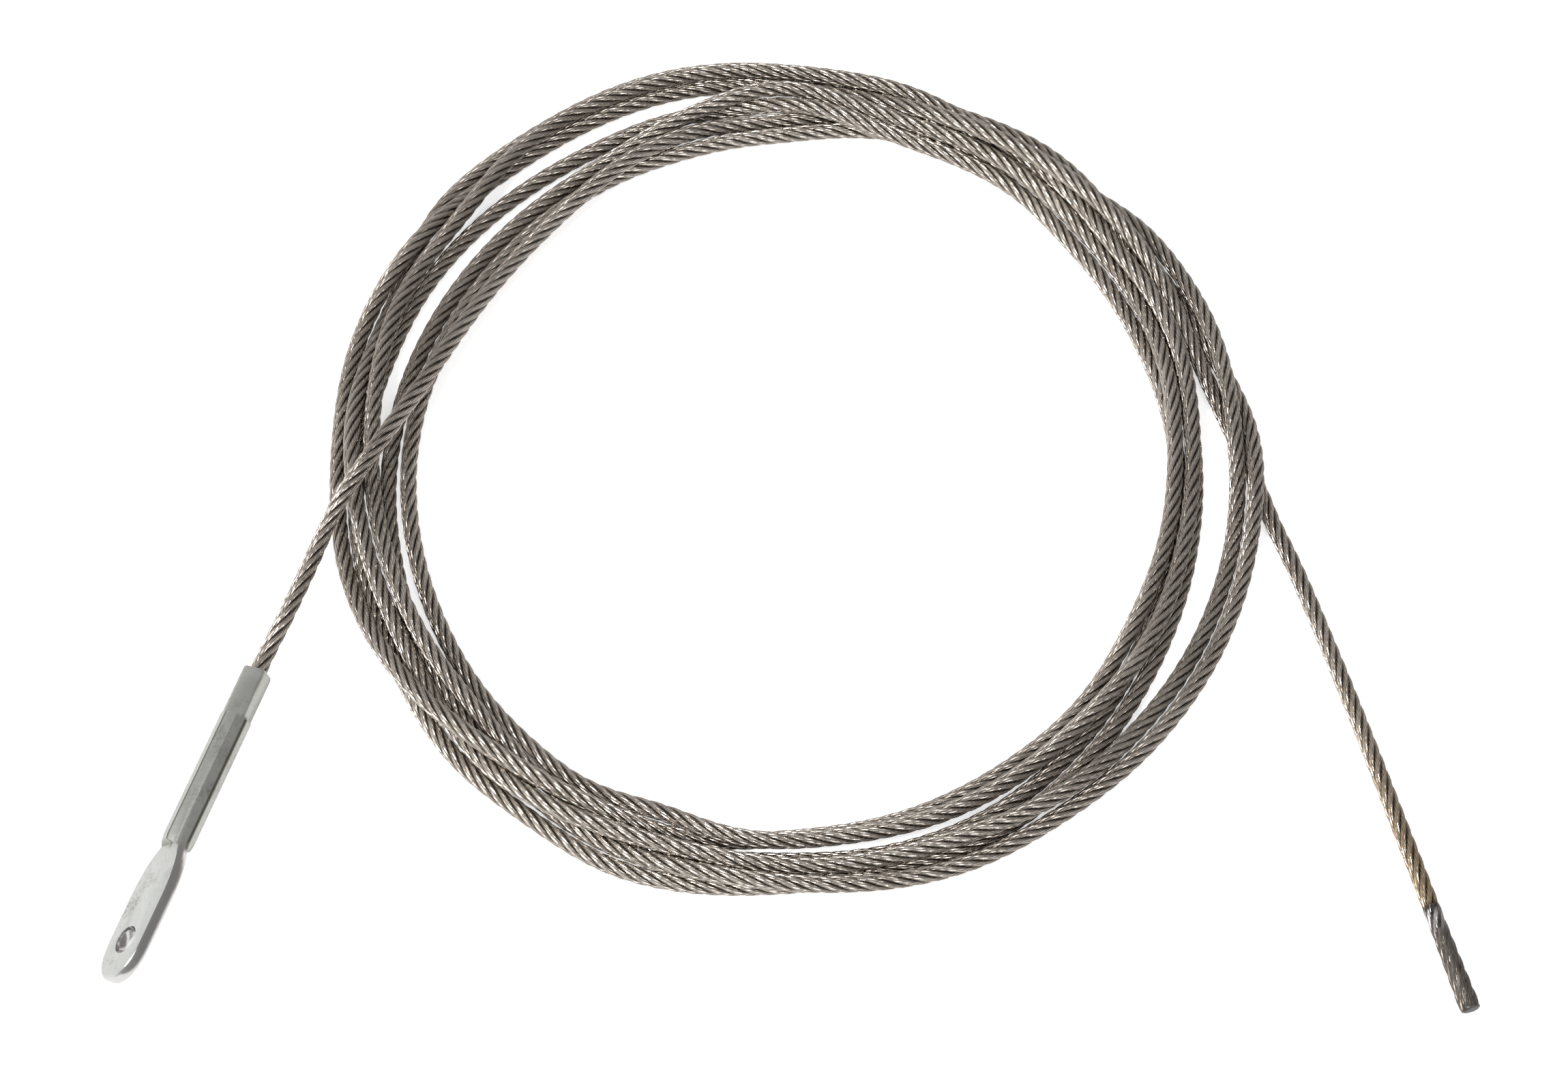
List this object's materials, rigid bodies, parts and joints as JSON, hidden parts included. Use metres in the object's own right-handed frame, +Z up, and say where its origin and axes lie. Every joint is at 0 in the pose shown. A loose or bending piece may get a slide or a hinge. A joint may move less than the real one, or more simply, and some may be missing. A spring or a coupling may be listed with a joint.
{
  "type": "coiled wire rope with swaged eye terminal",
  "caption": "Stainless wire rope, 3/16 in, wound in a loose coil of six and a half turns, with a swaged flat eye terminal on one end and a bare soldered end.",
  "frame": {"origin": "bottom centre of the bounding box, on the floor that the coil lies on", "axes": "+X from the eye terminal's side to the soldered end's side, +Y from the two ends to the far side of the coil, +Z up"},
  "size_m": [0.3605, 0.2964, 0.0166],
  "materials": {
    "rope": "bright drawn stainless wire",
    "terminal": "satin swaged stainless",
    "solder": "dull soldered"
  },
  "bodies": {
    "root": {"eye_terminal": "terminal", "core_strand_end": "rope", "outer_strand_end_1": "rope", "outer_strand_end_2": "rope", "outer_strand_end_3": "rope", "outer_strand_end_4": "rope", "outer_strand_end_5": "rope", "outer_strand_end_6": "rope", "rope_lead": "rope", "rope_coil": "rope", "rope_tail": "rope", "soldered_end": "solder"}
  },
  "joints": []
}
